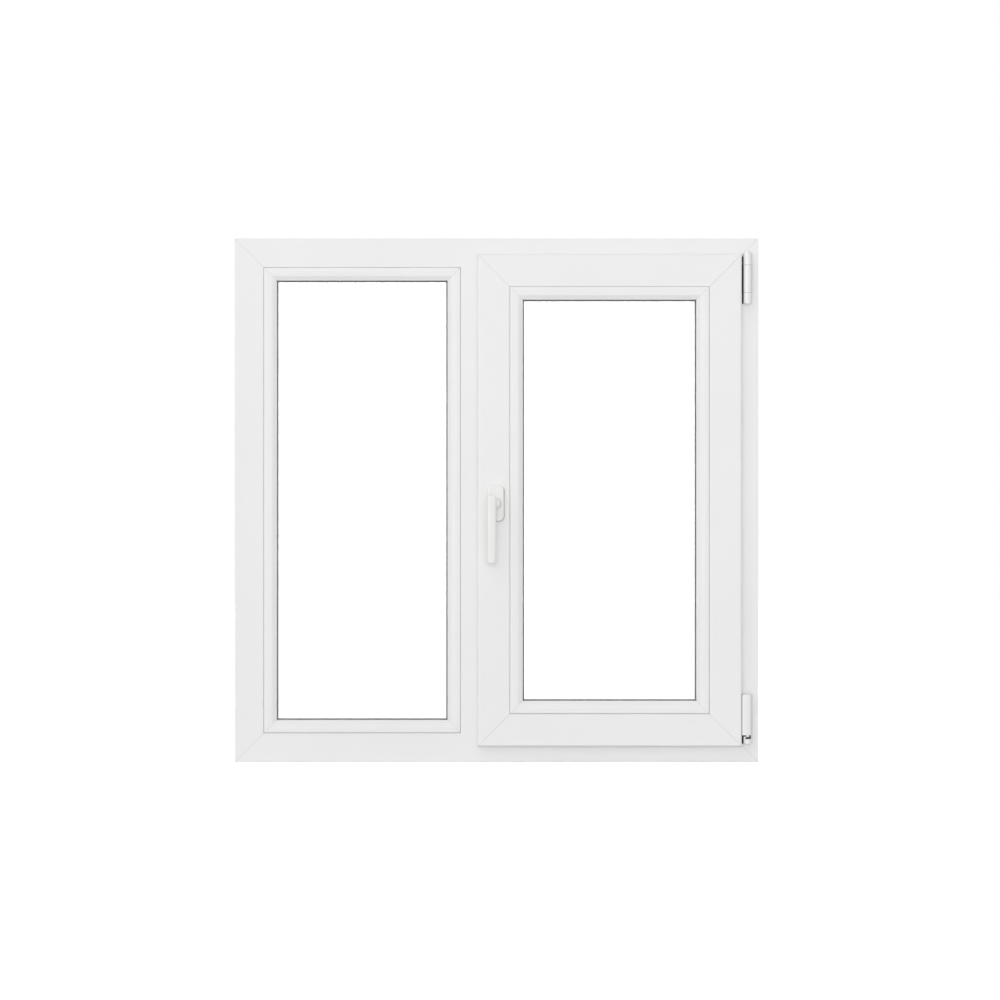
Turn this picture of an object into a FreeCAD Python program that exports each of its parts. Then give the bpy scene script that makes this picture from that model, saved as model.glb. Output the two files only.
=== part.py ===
"""Two-light PVC window, seen from the room: a fixed light on the left, a tilt and turn sash on the right.

Millimetres. +X to the right and +Z up as seen from the room, +Y towards the outside.
The origin lies on the underside of the outer frame, at the middle of its width and depth.
Every ring of profile is described by one section, in two coordinates: "run" is measured from the ring's
reference edge towards the middle of the light, and "deep" from the room-side face towards the outside.
"""

import FreeCAD, Part
import math
import os

from FreeCAD import Vector

# Overall size
window_width = 1000.0
window_height = 1000.0
profile_depth = 70.0

# Outer frame, seen from the room
frame_face = 55.0
frame_edge_chamfer = 0.8
clip_channel_mouth = 5.0
clip_channel_floor = 7.0
clip_channel_depth = 3.0
clip_channel_inset = 16.0

# Mullion between the lights
mullion_centre_x = -40.95
mullion_face = 55.1

# Sash
sash_overlap = 23.0
sash_end_overlap = 24.5
sash_stand_off = 18.0
sash_lip = 15.0
sash_face = 61.5
sash_edge_radius = 3.0
sash_air = 12.0
hardware_groove_mouth = 16.0
hardware_groove_mouth_depth = 3.0
hardware_groove_width = 12.0
hardware_groove_depth = 9.0
hardware_groove_axis = 13.0

# Glazing rebate, the same in frame, mullion and sash
flange_height = 25.0
flange_thickness = 15.0
flange_slope = 2.0
rebate_fall = 2.0
rebate_edge_radius = 0.4
bead_slot_top = 4.2
bead_slot_width = 4.0
bead_slot_depth = 3.5
seal_slot_inset = 3.4
seal_slot_width = 2.7
seal_slot_depth = 3.2

# Glazing bead
bead_set_back = 0.5
bead_height = 25.4
bead_outer_round = 1.3
bead_bevel_width = 7.8
bead_bevel_share = 0.33
bead_bevel_round = 2.0
bead_clearance = 0.3

# Seals
glass_seal = 3.0
seal_lip = 2.4
seal_body = 8.5
lip_seal_inset = 9.0
lip_seal_width = 6.0
slot_clearance = 0.2

# Double glazing
pane_thickness = 4.0
glass_cavity = 16.0
glass_edge_clearance = 5.0
edge_sealant = 5.0
spacer_height = 6.5

# Groove that is left where the welded corners are cleaned
weld_groove_width = 1.0
weld_groove_depth = 0.8

# Hinge side hardware
hinge_axis_from_sash = 11.3
hinge_radius = 7.5
hinge_proud = 0.9
hinge_plate = 1.2
hinge_leaf = 1.6
hinge_plate_margin = 1.0
hinge_leaf_grip = 7.0
hinge_pin_radius = 3.0
hinge_pin_clearance = 0.05
hinge_gap = 0.5
top_hinge_rise = 4.5
top_plate_drop = 4.0
top_upper_knuckle = 24.5
top_sash_knuckle = 52.0
top_lower_knuckle = 21.0
top_pin_head = 1.2
top_pin_head_radius = 4.2
bottom_cover_base = 51.5
bottom_cover_height = 78.0
bottom_cover_side_gap = 0.8
bottom_cover_left_round = 2.5
pivot_rest_base = 34.2
pivot_rest_height = 9.9
pivot_lug_height = 4.5
pivot_lug_width = 4.0
pivot_socket_radius = 3.1
pivot_socket_height = 3.5
pivot_pin_radius = 2.0
pivot_pin_reach = 6.0
hinge_end_chamfer = 1.4

# Handle
handle_from_sash_edge = 35.4
handle_z = 494.5
rosette_width = 31.0
rosette_height = 69.0
rosette_thickness = 11.0
rosette_corner = 10.0
rosette_edge_round = 2.5
stub_radius = 8.0
stub_clearance = 0.05
stub_depth = 7.0
neck_gap = 0.4
neck_base_radius = 10.0
neck_base_height = 1.5
neck_radius = 8.8
neck_flare = 4.0
neck_length = 24.0
neck_end_chamfer = 4.0
lever_offset = 8.0
lever_width = 18.0
lever_tip_width = 17.0
lever_thickness = 13.0
lever_tip_thickness = 10.8
lever_above = 15.4
lever_below = 115.5
lever_stand_off = 35.5
lever_top_corner = 7.0
lever_tip_corner = 5.0
lever_front_round = 4.2
lever_back_round = 3.2

# Drain caps on the outside of the sill
drain_slot_length = 28.0
drain_slot_height = 5.0
drain_slot_depth = 8.0
drain_slot_z = 14.0
drain_cap_margin = 4.0
drain_cap_thickness = 4.0
drain_from_corner = 110.0

# What follows from them
face_y = -profile_depth / 2
sash_y = face_y - sash_stand_off
flange_depth = profile_depth - flange_thickness
glass_back = flange_depth - glass_seal
glass_front = glass_back - 2 * pane_thickness - glass_cavity
bead_back = glass_front - glass_seal
frame_rect = (-window_width / 2, 0.0, window_width / 2, window_height)
fixed_rect = (
    frame_rect[0] + frame_face,
    frame_face,
    mullion_centre_x - mullion_face / 2,
    window_height - frame_face,
)
opening_rect = (
    mullion_centre_x + mullion_face / 2,
    frame_face,
    frame_rect[2] - frame_face,
    window_height - frame_face,
)
sash_rect = (
    opening_rect[0] - sash_overlap,
    opening_rect[1] - sash_end_overlap,
    opening_rect[2] + sash_overlap,
    opening_rect[3] + sash_end_overlap,
)
sash_glazing_rect = (
    sash_rect[0] + sash_face,
    sash_rect[1] + sash_face,
    sash_rect[2] - sash_face,
    sash_rect[3] - sash_face,
)
sides = ("left", "right", "top", "bottom")


def rounded_wire(corners, place):
    """Closed wire through (run, deep, radius) corners, each radius made an arc, set in space by place."""
    edges = []
    count = len(corners)
    ends = []
    for i, (run, deep, radius) in enumerate(corners):
        here = Vector(run, deep, 0)
        before = Vector(*corners[i - 1][:2], 0) - here
        after = Vector(*corners[(i + 1) % count][:2], 0) - here
        if radius == 0:
            ends.append((here, here, here))
            continue
        half = before.getAngle(after) / 2
        cut = radius / math.tan(half)
        start = here + before.normalize() * cut
        end = here + after.normalize() * cut
        to_centre = (before + after).normalize() * (radius / math.sin(half))
        middle = here + to_centre - (before + after).normalize() * radius
        ends.append((start, middle, end))
    points = [tuple(place(p.x, p.y) for p in end) for end in ends]
    for i, (start, middle, end) in enumerate(points):
        if start.distanceToPoint(end) > 1e-6:
            edges.append(Part.Arc(start, middle, end).toShape())
        following = points[(i + 1) % count][0]
        if end.distanceToPoint(following) > 1e-6:
            edges.append(Part.LineSegment(end, following).toShape())
    return Part.Wire(Part.__sortEdges__(edges))


def corners(points):
    """The points as (run, deep, radius), with radius 0 where none is given."""
    return [tuple(p) + (0,) * (3 - len(p)) for p in points]


def box(low, high):
    """Box between two opposite corners."""
    size = Vector(*high) - Vector(*low)
    return Part.makeBox(size.x, size.y, size.z, Vector(*low))


def cylinder(radius, start, end):
    """Solid cylinder between two points."""
    axis = Vector(*end) - Vector(*start)
    return Part.makeCylinder(radius, axis.Length, Vector(*start), axis)


def side_bar(side, rect, section, y_face):
    """One side of a ring of profile, cut to a mitre at both ends."""
    x0, z0, x1, z1 = rect
    shape = corners(section)
    margin = 5.0
    low = min(p[0] for p in shape) - margin
    high = max(p[0] for p in shape) + margin
    if side in ("left", "right"):
        edge, inward = (x0, 1) if side == "left" else (x1, -1)
        start = z0 + low
        length = z1 - z0 - 2 * low
        wire = rounded_wire(shape, lambda run, deep: Vector(edge + inward * run, y_face + deep, start))
        bar = Part.Face(wire).extrude(Vector(0, 0, length))
        trapezium = [
            (edge + inward * low, z0 + low),
            (edge + inward * high, z0 + high),
            (edge + inward * high, z1 - high),
            (edge + inward * low, z1 - low),
        ]
    else:
        edge, inward = (z0, 1) if side == "bottom" else (z1, -1)
        start = x0 + low
        length = x1 - x0 - 2 * low
        wire = rounded_wire(shape, lambda run, deep: Vector(start, y_face + deep, edge + inward * run))
        bar = Part.Face(wire).extrude(Vector(length, 0, 0))
        trapezium = [
            (x0 + low, edge + inward * low),
            (x0 + high, edge + inward * high),
            (x1 - high, edge + inward * high),
            (x1 - low, edge + inward * low),
        ]
    y_low = y_face + min(p[1] for p in shape) - margin
    y_high = y_face + max(p[1] for p in shape) + margin
    outline = [Vector(x, y_low, z) for x, z in trapezium]
    mitre = Part.Face(Part.makePolygon(outline + outline[:1])).extrude(Vector(0, y_high - y_low, 0))
    return bar.common(mitre).Solids[0]


def ring(rect, section, y_face):
    """A whole ring of profile, its four sides joined at the mitres."""
    bars = [side_bar(side, rect, section, y_face) for side in sides]
    return bars[0].multiFuse(bars[1:]).removeSplitter().Solids[0]


def slab(rect, inset, y_low, y_high):
    """Flat sheet that fills a rectangle, set in by inset on every side."""
    x0, z0, x1, z1 = rect
    return box((x0 + inset, y_low, z0 + inset), (x1 - inset, y_high, z1 - inset))


def weld_grooves(rect, run_low, run_high, y_surface, into):
    """V-grooves along the four mitres of a ring, in the face at y_surface; into is +1 or -1 along Y."""
    x0, z0, x1, z1 = rect
    grooves = []
    for corner_x, across in ((x0, 1), (x1, -1)):
        for corner_z, up in ((z0, 1), (z1, -1)):
            along = Vector(across, 0, up)
            beside = Vector(across, 0, -up).normalize() * (weld_groove_width / 2)
            start = Vector(corner_x, y_surface, corner_z) + along * run_low
            outside = Vector(0, -into * weld_groove_depth, 0)
            tip = start + Vector(0, into * weld_groove_depth, 0)
            outline = [start + beside * 2 + outside, tip, start - beside * 2 + outside]
            triangle = Part.Face(Part.makePolygon(outline + outline[:1]))
            grooves.append(triangle.extrude(along * (run_high - run_low)))
    return grooves


def rebate_line(edge):
    """The glazing rebate from the room-side arris, whose run is edge, to the outside face of the flange."""
    slot_low = edge + flange_height - seal_slot_inset - seal_slot_width
    slot_high = slot_low + seal_slot_width
    slot_end = bead_slot_top + bead_slot_width
    return [
        (edge, 0, rebate_edge_radius),
        (edge, bead_slot_top),
        (edge - bead_slot_depth, bead_slot_top),
        (edge - bead_slot_depth, slot_end),
        (edge, slot_end),
        (edge - rebate_fall, flange_depth),
        (slot_low, flange_depth),
        (slot_low, flange_depth + seal_slot_depth),
        (slot_high, flange_depth + seal_slot_depth),
        (slot_high, flange_depth),
        (edge + flange_height, flange_depth),
        (edge + flange_height, flange_depth + flange_slope),
        (edge + flange_height - flange_slope, profile_depth),
    ]


def seal_slot_section():
    """Slot for the outside seal, routed through the frame's flange where the mullion stands on it."""
    slot_low = flange_height - seal_slot_inset - seal_slot_width
    return [
        (slot_low, flange_depth - 1),
        (slot_low + seal_slot_width, flange_depth - 1),
        (slot_low + seal_slot_width, flange_depth + seal_slot_depth),
        (slot_low, flange_depth + seal_slot_depth),
    ]


def clip_channel(middle):
    """Dovetail channel in the outer side of the frame, where wall anchors clip in."""
    return [
        (0, middle + clip_channel_mouth / 2),
        (clip_channel_depth, middle + clip_channel_floor / 2),
        (clip_channel_depth, middle - clip_channel_floor / 2),
        (0, middle - clip_channel_mouth / 2),
    ]


def frame_section():
    """Outer frame profile, run measured from the outside of the window."""
    points = [(0, 0, frame_edge_chamfer)]
    points += rebate_line(frame_face)
    points += [(0, profile_depth, frame_edge_chamfer)]
    points += clip_channel(profile_depth - clip_channel_inset)
    points += clip_channel(clip_channel_inset)
    return points


def sash_section():
    """Sash profile, run measured from the outer edge of the lip that laps over the frame."""
    body = sash_overlap + sash_air
    groove = sash_lip + hardware_groove_axis
    mouth_low = groove - hardware_groove_mouth / 2
    mouth_high = groove + hardware_groove_mouth / 2
    slot_low = groove - hardware_groove_width / 2
    slot_high = groove + hardware_groove_width / 2
    mouth_floor = body + hardware_groove_mouth_depth
    slot_floor = body + hardware_groove_depth
    seal_low = lip_seal_inset + (lip_seal_width - seal_slot_width) / 2
    seal_high = seal_low + seal_slot_width
    points = [(0, 0, sash_edge_radius)]
    points += rebate_line(sash_face)
    points += [
        (body, profile_depth, 1.0),
        (body, mouth_high),
        (mouth_floor, mouth_high),
        (mouth_floor, slot_high),
        (slot_floor, slot_high),
        (slot_floor, slot_low),
        (mouth_floor, slot_low),
        (mouth_floor, mouth_low),
        (body, mouth_low),
        (body, sash_lip),
        (seal_high, sash_lip),
        (seal_high, sash_lip - seal_slot_depth),
        (seal_low, sash_lip - seal_slot_depth),
        (seal_low, sash_lip),
        (0, sash_lip, 1.0),
    ]
    return points


def bead_section():
    """Glazing bead, run measured from the arris of the rebate; its foot clips into the bead slot."""
    low = bead_clearance
    foot_top = bead_slot_top + slot_clearance
    foot_end = bead_slot_top + bead_slot_width - slot_clearance
    foot_tip = slot_clearance - bead_slot_depth
    bevel_end = bead_set_back + (bead_back - bead_set_back) * bead_bevel_share
    return [
        (low, bead_set_back, bead_outer_round),
        (bead_height - bead_bevel_width, bead_set_back, bead_bevel_round),
        (bead_height, bevel_end, bead_bevel_round),
        (bead_height, bead_back),
        (low, bead_back),
        (low, foot_end),
        (foot_tip, foot_end),
        (foot_tip, foot_top),
        (low, foot_top),
    ]


def inner_seal_section():
    """Soft seal between bead and glass; its lip shows as a thin dark line round the pane."""
    return [
        (bead_height - glass_seal, bead_back),
        (bead_height, bead_back),
        (bead_height, bead_back - 1.0),
        (bead_height + seal_lip, glass_front - 1.0),
        (bead_height + seal_lip, glass_front),
        (bead_height - glass_seal, glass_front),
    ]


def outer_seal_section():
    """Seal held in the slot of the outside flange; it bears on the glass, or on the shut sash."""
    slot_low = flange_height - seal_slot_inset - seal_slot_width + slot_clearance
    slot_high = flange_height - seal_slot_inset - slot_clearance
    slot_end = flange_depth + seal_slot_depth - slot_clearance
    tip = flange_height + 0.6
    return [
        (tip - seal_body, glass_back),
        (tip, glass_back),
        (tip, glass_back + 1.0),
        (flange_height - 0.6, flange_depth),
        (slot_high, flange_depth),
        (slot_high, slot_end),
        (slot_low, slot_end),
        (slot_low, flange_depth),
        (tip - seal_body, flange_depth),
    ]


def lip_seal_section():
    """Seal in the back of the sash lip; it bears on the room-side face of the frame."""
    low = lip_seal_inset
    high = lip_seal_inset + lip_seal_width
    slot_low = low + (lip_seal_width - seal_slot_width) / 2 + slot_clearance
    slot_high = high - (lip_seal_width - seal_slot_width) / 2 - slot_clearance
    slot_end = sash_lip - seal_slot_depth + slot_clearance
    return [
        (low, sash_stand_off),
        (high, sash_stand_off),
        (high, sash_lip),
        (slot_high, sash_lip),
        (slot_high, slot_end),
        (slot_low, slot_end),
        (slot_low, sash_lip),
        (low, sash_lip),
    ]


def outer_frame():
    """Four mitred lengths with cleaned weld seams and the drain slots of the sill."""
    nodes = {}
    grooves = weld_grooves(frame_rect, 0, frame_face, face_y, 1)
    grooves += weld_grooves(frame_rect, 0, frame_face + flange_height, -face_y, -1)
    names = {
        "left": "frame_jamb_left",
        "right": "frame_jamb_right",
        "top": "frame_head",
        "bottom": "frame_sill",
    }
    for side, name in names.items():
        bar = side_bar(side, frame_rect, frame_section(), face_y)
        nodes[name] = bar.cut(grooves)
    slots = [
        box(
            (x - drain_slot_length / 2, -face_y - drain_slot_depth, drain_slot_z - drain_slot_height / 2),
            (x + drain_slot_length / 2, -face_y + 1, drain_slot_z + drain_slot_height / 2),
        )
        for x in drain_places()
    ]
    nodes["frame_sill"] = nodes["frame_sill"].cut(slots)
    routed = [ring(rect, seal_slot_section(), face_y) for rect in (fixed_rect, opening_rect)]
    for name in ("frame_head", "frame_sill"):
        nodes[name] = nodes[name].cut(routed).Solids[0]
    return nodes


def drain_places():
    """Where the drain slots lie along the sill: near both lower corners of each light."""
    return [
        fixed_rect[0] + drain_from_corner,
        fixed_rect[2] - drain_from_corner,
        opening_rect[0] + drain_from_corner,
        opening_rect[2] - drain_from_corner,
    ]


def drain_caps():
    """Hooded caps over the drain slots, open below."""
    half = drain_slot_length / 2 + drain_cap_margin
    low = drain_slot_z - drain_slot_height / 2 - drain_cap_margin
    high = drain_slot_z + drain_slot_height / 2 + drain_cap_margin
    caps = []
    for x in drain_places():
        outline = [
            Vector(x - half, -face_y, low),
            Vector(x - half, -face_y + drain_cap_thickness, low),
            Vector(x - half, -face_y + drain_cap_thickness / 2, high),
            Vector(x - half, -face_y, high),
        ]
        hood = Part.Face(Part.makePolygon(outline + outline[:1])).extrude(Vector(2 * half, 0, 0))
        hood = hood.makeFillet(1.0, [e for e in hood.Edges if edge_is_outside(e)])
        mouth = box(
            (x - half + 1.5, -face_y - 1, low - 1),
            (x + half - 1.5, -face_y + drain_cap_thickness / 2 - 0.5, high - 2.0),
        )
        caps.append(hood.cut(mouth))
    return Part.makeCompound(caps)


def edge_is_outside(edge):
    """True for the two sloping side edges of a drain hood."""
    first, last = (v.Point for v in edge.Vertexes)
    return abs(first.x - last.x) < 0.01 and abs(first.z - last.z) > 1 and min(first.y, last.y) > -face_y + 0.5


def mullion():
    """Post with a rebate on each side, its ends machined to sit on the frame profile."""
    half = mullion_face / 2
    right = [tuple([mullion_centre_x + p[0]] + list(p[1:])) for p in rebate_line(half)]
    left = [tuple([mullion_centre_x - p[0]] + list(p[1:])) for p in rebate_line(half)]
    section = corners(right + left[::-1])
    start = frame_face - rebate_fall
    wire = rounded_wire(section, lambda run, deep: Vector(run, face_y + deep, start))
    blank = Part.Face(wire).extrude(Vector(0, 0, window_height - 2 * start))
    slot_end = bead_slot_top + bead_slot_width
    seat = [
        (-5, -5),
        (frame_face, -5),
        (frame_face, slot_end),
        (frame_face - rebate_fall, flange_depth),
        (frame_face + flange_height, flange_depth),
        (frame_face + flange_height, flange_depth + flange_slope),
        (frame_face + flange_height - flange_slope, profile_depth),
        (frame_face + flange_height - flange_slope, profile_depth + 5),
        (-5, profile_depth + 5),
    ]
    seats = []
    for side in ("top", "bottom"):
        seats.append(side_bar(side, frame_rect, seat, face_y))
    return {"mullion": blank.cut(seats).Solids[0]}


def glazing(prefix, rect, y_face):
    """Beads, seals and the sealed double pane that fill one rebate."""
    nodes = {}
    for side in sides:
        nodes[f"{prefix}_bead_{side}"] = side_bar(side, rect, bead_section(), y_face)
    nodes[f"{prefix}_glass_seal_inside"] = ring(rect, inner_seal_section(), y_face)
    nodes[f"{prefix}_glass_seal_outside"] = ring(rect, outer_seal_section(), y_face)
    edge = glass_edge_clearance
    inner = y_face + glass_front
    cavity = inner + pane_thickness
    outer = cavity + glass_cavity
    nodes[f"{prefix}_pane_inside"] = slab(rect, edge, inner, cavity)
    nodes[f"{prefix}_pane_outside"] = slab(rect, edge, outer, outer + pane_thickness)
    sealant = slab(rect, edge, cavity, outer).cut(slab(rect, edge + edge_sealant, cavity, outer))
    spacer_outer = edge + edge_sealant
    spacer = slab(rect, spacer_outer, cavity, outer)
    spacer = spacer.cut(slab(rect, spacer_outer + spacer_height, cavity, outer))
    nodes[f"{prefix}_edge_sealant"] = sealant
    nodes[f"{prefix}_spacer_bar"] = spacer
    return nodes


def sash():
    """Four mitred lengths of sash profile and the seals that the shut sash bears on."""
    nodes = {}
    grooves = weld_grooves(sash_rect, 0, sash_face, sash_y, 1)
    body = sash_overlap + sash_air
    grooves += weld_grooves(sash_rect, body, sash_face + flange_height, sash_y + profile_depth, -1)
    names = {
        "left": "sash_stile_handle",
        "right": "sash_stile_hinge",
        "top": "sash_rail_top",
        "bottom": "sash_rail_bottom",
    }
    for side, name in names.items():
        bar = side_bar(side, sash_rect, sash_section(), sash_y)
        nodes[name] = bar.cut(grooves)
    nodes["sash_lip_seal"] = ring(sash_rect, lip_seal_section(), sash_y)
    nodes["frame_rebate_seal"] = ring(opening_rect, outer_seal_section(), face_y)
    return nodes


def knuckle(axis, y_back, z_low, z_high, left=None):
    """Hinge knuckle: round in front, straight sides back to y_back, ends rounded."""
    r = hinge_radius
    x_left = axis.x - r if left is None else left
    x_right = axis.x + r
    y_front = axis.y - r
    section = [
        (x_left, y_back, 0),
        (x_left, y_front, bottom_cover_left_round if left is not None else r * 0.98),
        (x_right, y_front, r * 0.98),
        (x_right, y_back, 0),
    ]
    wire = rounded_wire(section, lambda x, y: Vector(x, y, z_low))
    return Part.Face(wire).extrude(Vector(0, 0, z_high - z_low))


def soften(shape, z, size):
    """Chamfers the edges of a knuckle's end face at height z, apart from the one against the plate."""
    edges = []
    y_back = shape.BoundBox.YMax
    for edge in shape.Edges:
        bounds = edge.BoundBox
        if abs(bounds.ZMin - z) < 0.01 and abs(bounds.ZMax - z) < 0.01 and bounds.YMin < y_back - 0.1:
            edges.append(edge)
    return shape.makeChamfer(size, edges)


def hinge_axis():
    """The one vertical line that both hinges turn on."""
    y_axis = sash_y - hinge_proud + hinge_radius
    return Vector(sash_rect[2] + hinge_axis_from_sash, y_axis, 0)


def top_hinge():
    """Stay hinge: two knuckles on the frame, one on the sash between them, and a pin through all three."""
    axis = hinge_axis()
    lip_back = sash_y + sash_lip
    plate_front = face_y - hinge_plate
    top = sash_rect[3] + top_hinge_rise
    upper_low = top - top_upper_knuckle
    sash_high = upper_low - hinge_gap
    sash_low = sash_high - top_sash_knuckle
    lower_high = sash_low - hinge_gap
    bottom = lower_high - top_lower_knuckle
    bore = cylinder(
        hinge_pin_radius + hinge_pin_clearance, (axis.x, axis.y, bottom - 1), (axis.x, axis.y, top + 1)
    )
    upper = soften(knuckle(axis, plate_front, upper_low, top), top, hinge_end_chamfer)
    lower = soften(knuckle(axis, plate_front, bottom, lower_high), bottom, hinge_end_chamfer)
    middle = knuckle(axis, lip_back, sash_low, sash_high)
    pin_low = bottom - top_pin_head
    pin_high = top + top_pin_head
    pin = cylinder(hinge_pin_radius, (axis.x, axis.y, pin_low), (axis.x, axis.y, pin_high))
    heads = [
        cylinder(top_pin_head_radius, (axis.x, axis.y, top), (axis.x, axis.y, pin_high)),
        cylinder(top_pin_head_radius, (axis.x, axis.y, pin_low), (axis.x, axis.y, bottom)),
    ]
    plate = box(
        (sash_rect[2] + hinge_plate_margin, plate_front, bottom),
        (axis.x + hinge_radius - hinge_plate_margin, face_y, sash_rect[3] - top_plate_drop),
    )
    leaf = box(
        (sash_rect[2] - hinge_leaf_grip, lip_back, sash_low),
        (axis.x + hinge_radius, lip_back + hinge_leaf, sash_high),
    )
    return {
        "top_hinge_upper_knuckle": upper.cut(bore),
        "top_hinge_lower_knuckle": lower.cut(bore),
        "top_hinge_sash_knuckle": middle.cut(bore),
        "top_hinge_pin": pin.multiFuse(heads).removeSplitter().Solids[0],
        "top_hinge_frame_plate": plate,
        "top_hinge_sash_leaf": leaf,
    }


def bottom_hinge():
    """Corner hinge: a tall cover on the sash stands on a short pivot rest on the frame."""
    axis = hinge_axis()
    lip_back = sash_y + sash_lip
    plate_front = face_y - hinge_plate
    cover_low = bottom_cover_base
    cover_high = cover_low + bottom_cover_height
    cover = knuckle(axis, lip_back, cover_low, cover_high, left=sash_rect[2] + bottom_cover_side_gap)
    cover = soften(cover, cover_high, hinge_end_chamfer)
    socket_low = cover_low - pivot_socket_height
    socket = cylinder(pivot_socket_radius, (axis.x, axis.y, socket_low), (axis.x, axis.y, cover_low))
    rest_high = pivot_rest_base + pivot_rest_height
    rest = knuckle(axis, plate_front, pivot_rest_base, rest_high)
    rest = soften(rest, pivot_rest_base, hinge_end_chamfer)
    lug = box(
        (axis.x - hinge_radius, axis.y, rest_high),
        (axis.x - hinge_radius + pivot_lug_width, plate_front, rest_high + pivot_lug_height),
    )
    pin_low = pivot_rest_base + hinge_end_chamfer
    pin_high = cover_low + pivot_pin_reach
    pin = cylinder(pivot_pin_radius, (axis.x, axis.y, pin_low), (axis.x, axis.y, pin_high))
    bore = cylinder(
        pivot_pin_radius + hinge_pin_clearance,
        (axis.x, axis.y, pin_low),
        (axis.x, axis.y, pin_high + hinge_gap),
    )
    plate = box(
        (sash_rect[2] + hinge_plate_margin, plate_front, pivot_rest_base + hinge_plate_margin),
        (axis.x + hinge_radius - hinge_plate_margin, face_y, cover_low - hinge_gap),
    )
    leaf = box(
        (sash_rect[2] - hinge_leaf_grip, lip_back, cover_low),
        (axis.x + hinge_radius, lip_back + hinge_leaf, cover_high),
    )
    return {
        "bottom_hinge_cover": cover.fuse(socket).cut(bore).removeSplitter().Solids[0],
        "bottom_hinge_pivot_rest": rest.fuse(lug).cut(bore).removeSplitter().Solids[0],
        "bottom_hinge_pivot_pin": pin,
        "bottom_hinge_frame_plate": plate,
        "bottom_hinge_sash_leaf": leaf,
    }


def handle():
    """Rosette on the sash stile, and the lever that turns in it."""
    x = sash_rect[0] + handle_from_sash_edge
    half_w = rosette_width / 2
    half_h = rosette_height / 2
    outline = [
        (x - half_w, handle_z - half_h, rosette_corner),
        (x + half_w, handle_z - half_h, rosette_corner),
        (x + half_w, handle_z + half_h, rosette_corner),
        (x - half_w, handle_z + half_h, rosette_corner),
    ]
    wire = rounded_wire(outline, lambda across, up: Vector(across, sash_y, up))
    rosette = Part.Face(wire).extrude(Vector(0, -rosette_thickness, 0))
    front = sash_y - rosette_thickness
    rim = [e for e in rosette.Edges if e.BoundBox.YMax < front + 0.01]
    rosette = rosette.makeFillet(rosette_edge_round, rim)
    bore = cylinder(
        stub_radius + stub_clearance,
        (x, front + stub_depth + neck_gap, handle_z),
        (x, front - 1, handle_z),
    )
    return {"handle_rosette": rosette.cut(bore), "handle_lever": lever(x, front)}


def grip(x):
    """The hanging part of the lever, thinner towards its tip, with all its edges rounded."""
    y = sash_y - lever_stand_off
    top = handle_z + lever_above
    tip = handle_z - lever_below
    outline = [
        (x - lever_width / 2, top, lever_top_corner),
        (x + lever_width / 2, top, lever_top_corner),
        (x + lever_tip_width / 2, tip, lever_tip_corner),
        (x - lever_tip_width / 2, tip, lever_tip_corner),
    ]
    wire = rounded_wire(outline, lambda across, up: Vector(across, y - lever_thickness, up))
    from_front = Part.Face(wire).extrude(Vector(0, 2 * lever_thickness, 0))
    side = [
        Vector(x - lever_width, y - lever_thickness / 2, top + 1),
        Vector(x - lever_width, y - lever_tip_thickness / 2, tip - 1),
        Vector(x - lever_width, y + lever_tip_thickness / 2, tip - 1),
        Vector(x - lever_width, y + lever_thickness / 2, top + 1),
    ]
    from_side = Part.Face(Part.makePolygon(side + side[:1])).extrude(Vector(2 * lever_width, 0, 0))
    shape = from_front.common(from_side).Solids[0]
    for towards_room, radius in ((True, lever_front_round), (False, lever_back_round)):
        shape = shape.makeFillet(radius, broad_face(shape, y, towards_room).Edges)
    return shape


def broad_face(shape, y, towards_room):
    """The largest face of the grip on one side of its middle plane."""
    half = [f for f in shape.Faces if (f.CenterOfMass.y < y) == towards_room]
    return max(half, key=lambda f: f.BoundBox.XLength * f.BoundBox.ZLength)


def lever(x, rosette_front):
    """Lever in one casting: a stub in the rosette, a turned neck, and the grip set to one side of it."""
    start = rosette_front - neck_gap
    profile = [
        (0, 0, 0),
        (neck_base_radius, 0, 0),
        (neck_base_radius, neck_base_height, 0),
        (neck_radius, neck_flare, 0),
        (neck_radius, neck_length - neck_end_chamfer, 0),
        (neck_radius - neck_end_chamfer / 3, neck_length - neck_end_chamfer / 3, 0),
        (neck_radius - neck_end_chamfer, neck_length, 0),
        (0, neck_length, 0),
    ]
    wire = rounded_wire(profile, lambda run, deep: Vector(x + run, start - deep, handle_z))
    neck = Part.Face(wire).revolve(Vector(x, start, handle_z), Vector(0, 1, 0), 360)
    stub = cylinder(stub_radius, (x, rosette_front + stub_depth, handle_z), (x, start - 1, handle_z))
    return grip(x - lever_offset).multiFuse([neck, stub]).removeSplitter().Solids[0]


def all_nodes():
    """Every piece of the window by its name."""
    nodes = {}
    nodes.update(outer_frame())
    nodes.update(mullion())
    nodes["frame_drain_caps"] = drain_caps()
    nodes.update(glazing("fixed", fixed_rect, face_y))
    nodes.update(sash())
    nodes.update(glazing("sash", sash_glazing_rect, sash_y))
    nodes.update(top_hinge())
    nodes.update(bottom_hinge())
    nodes.update(handle())
    return nodes


os.makedirs("parts", exist_ok=True)
for name, shape in all_nodes().items():
    shape.exportStep(f"parts/{name}.step")
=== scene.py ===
import math

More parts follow.
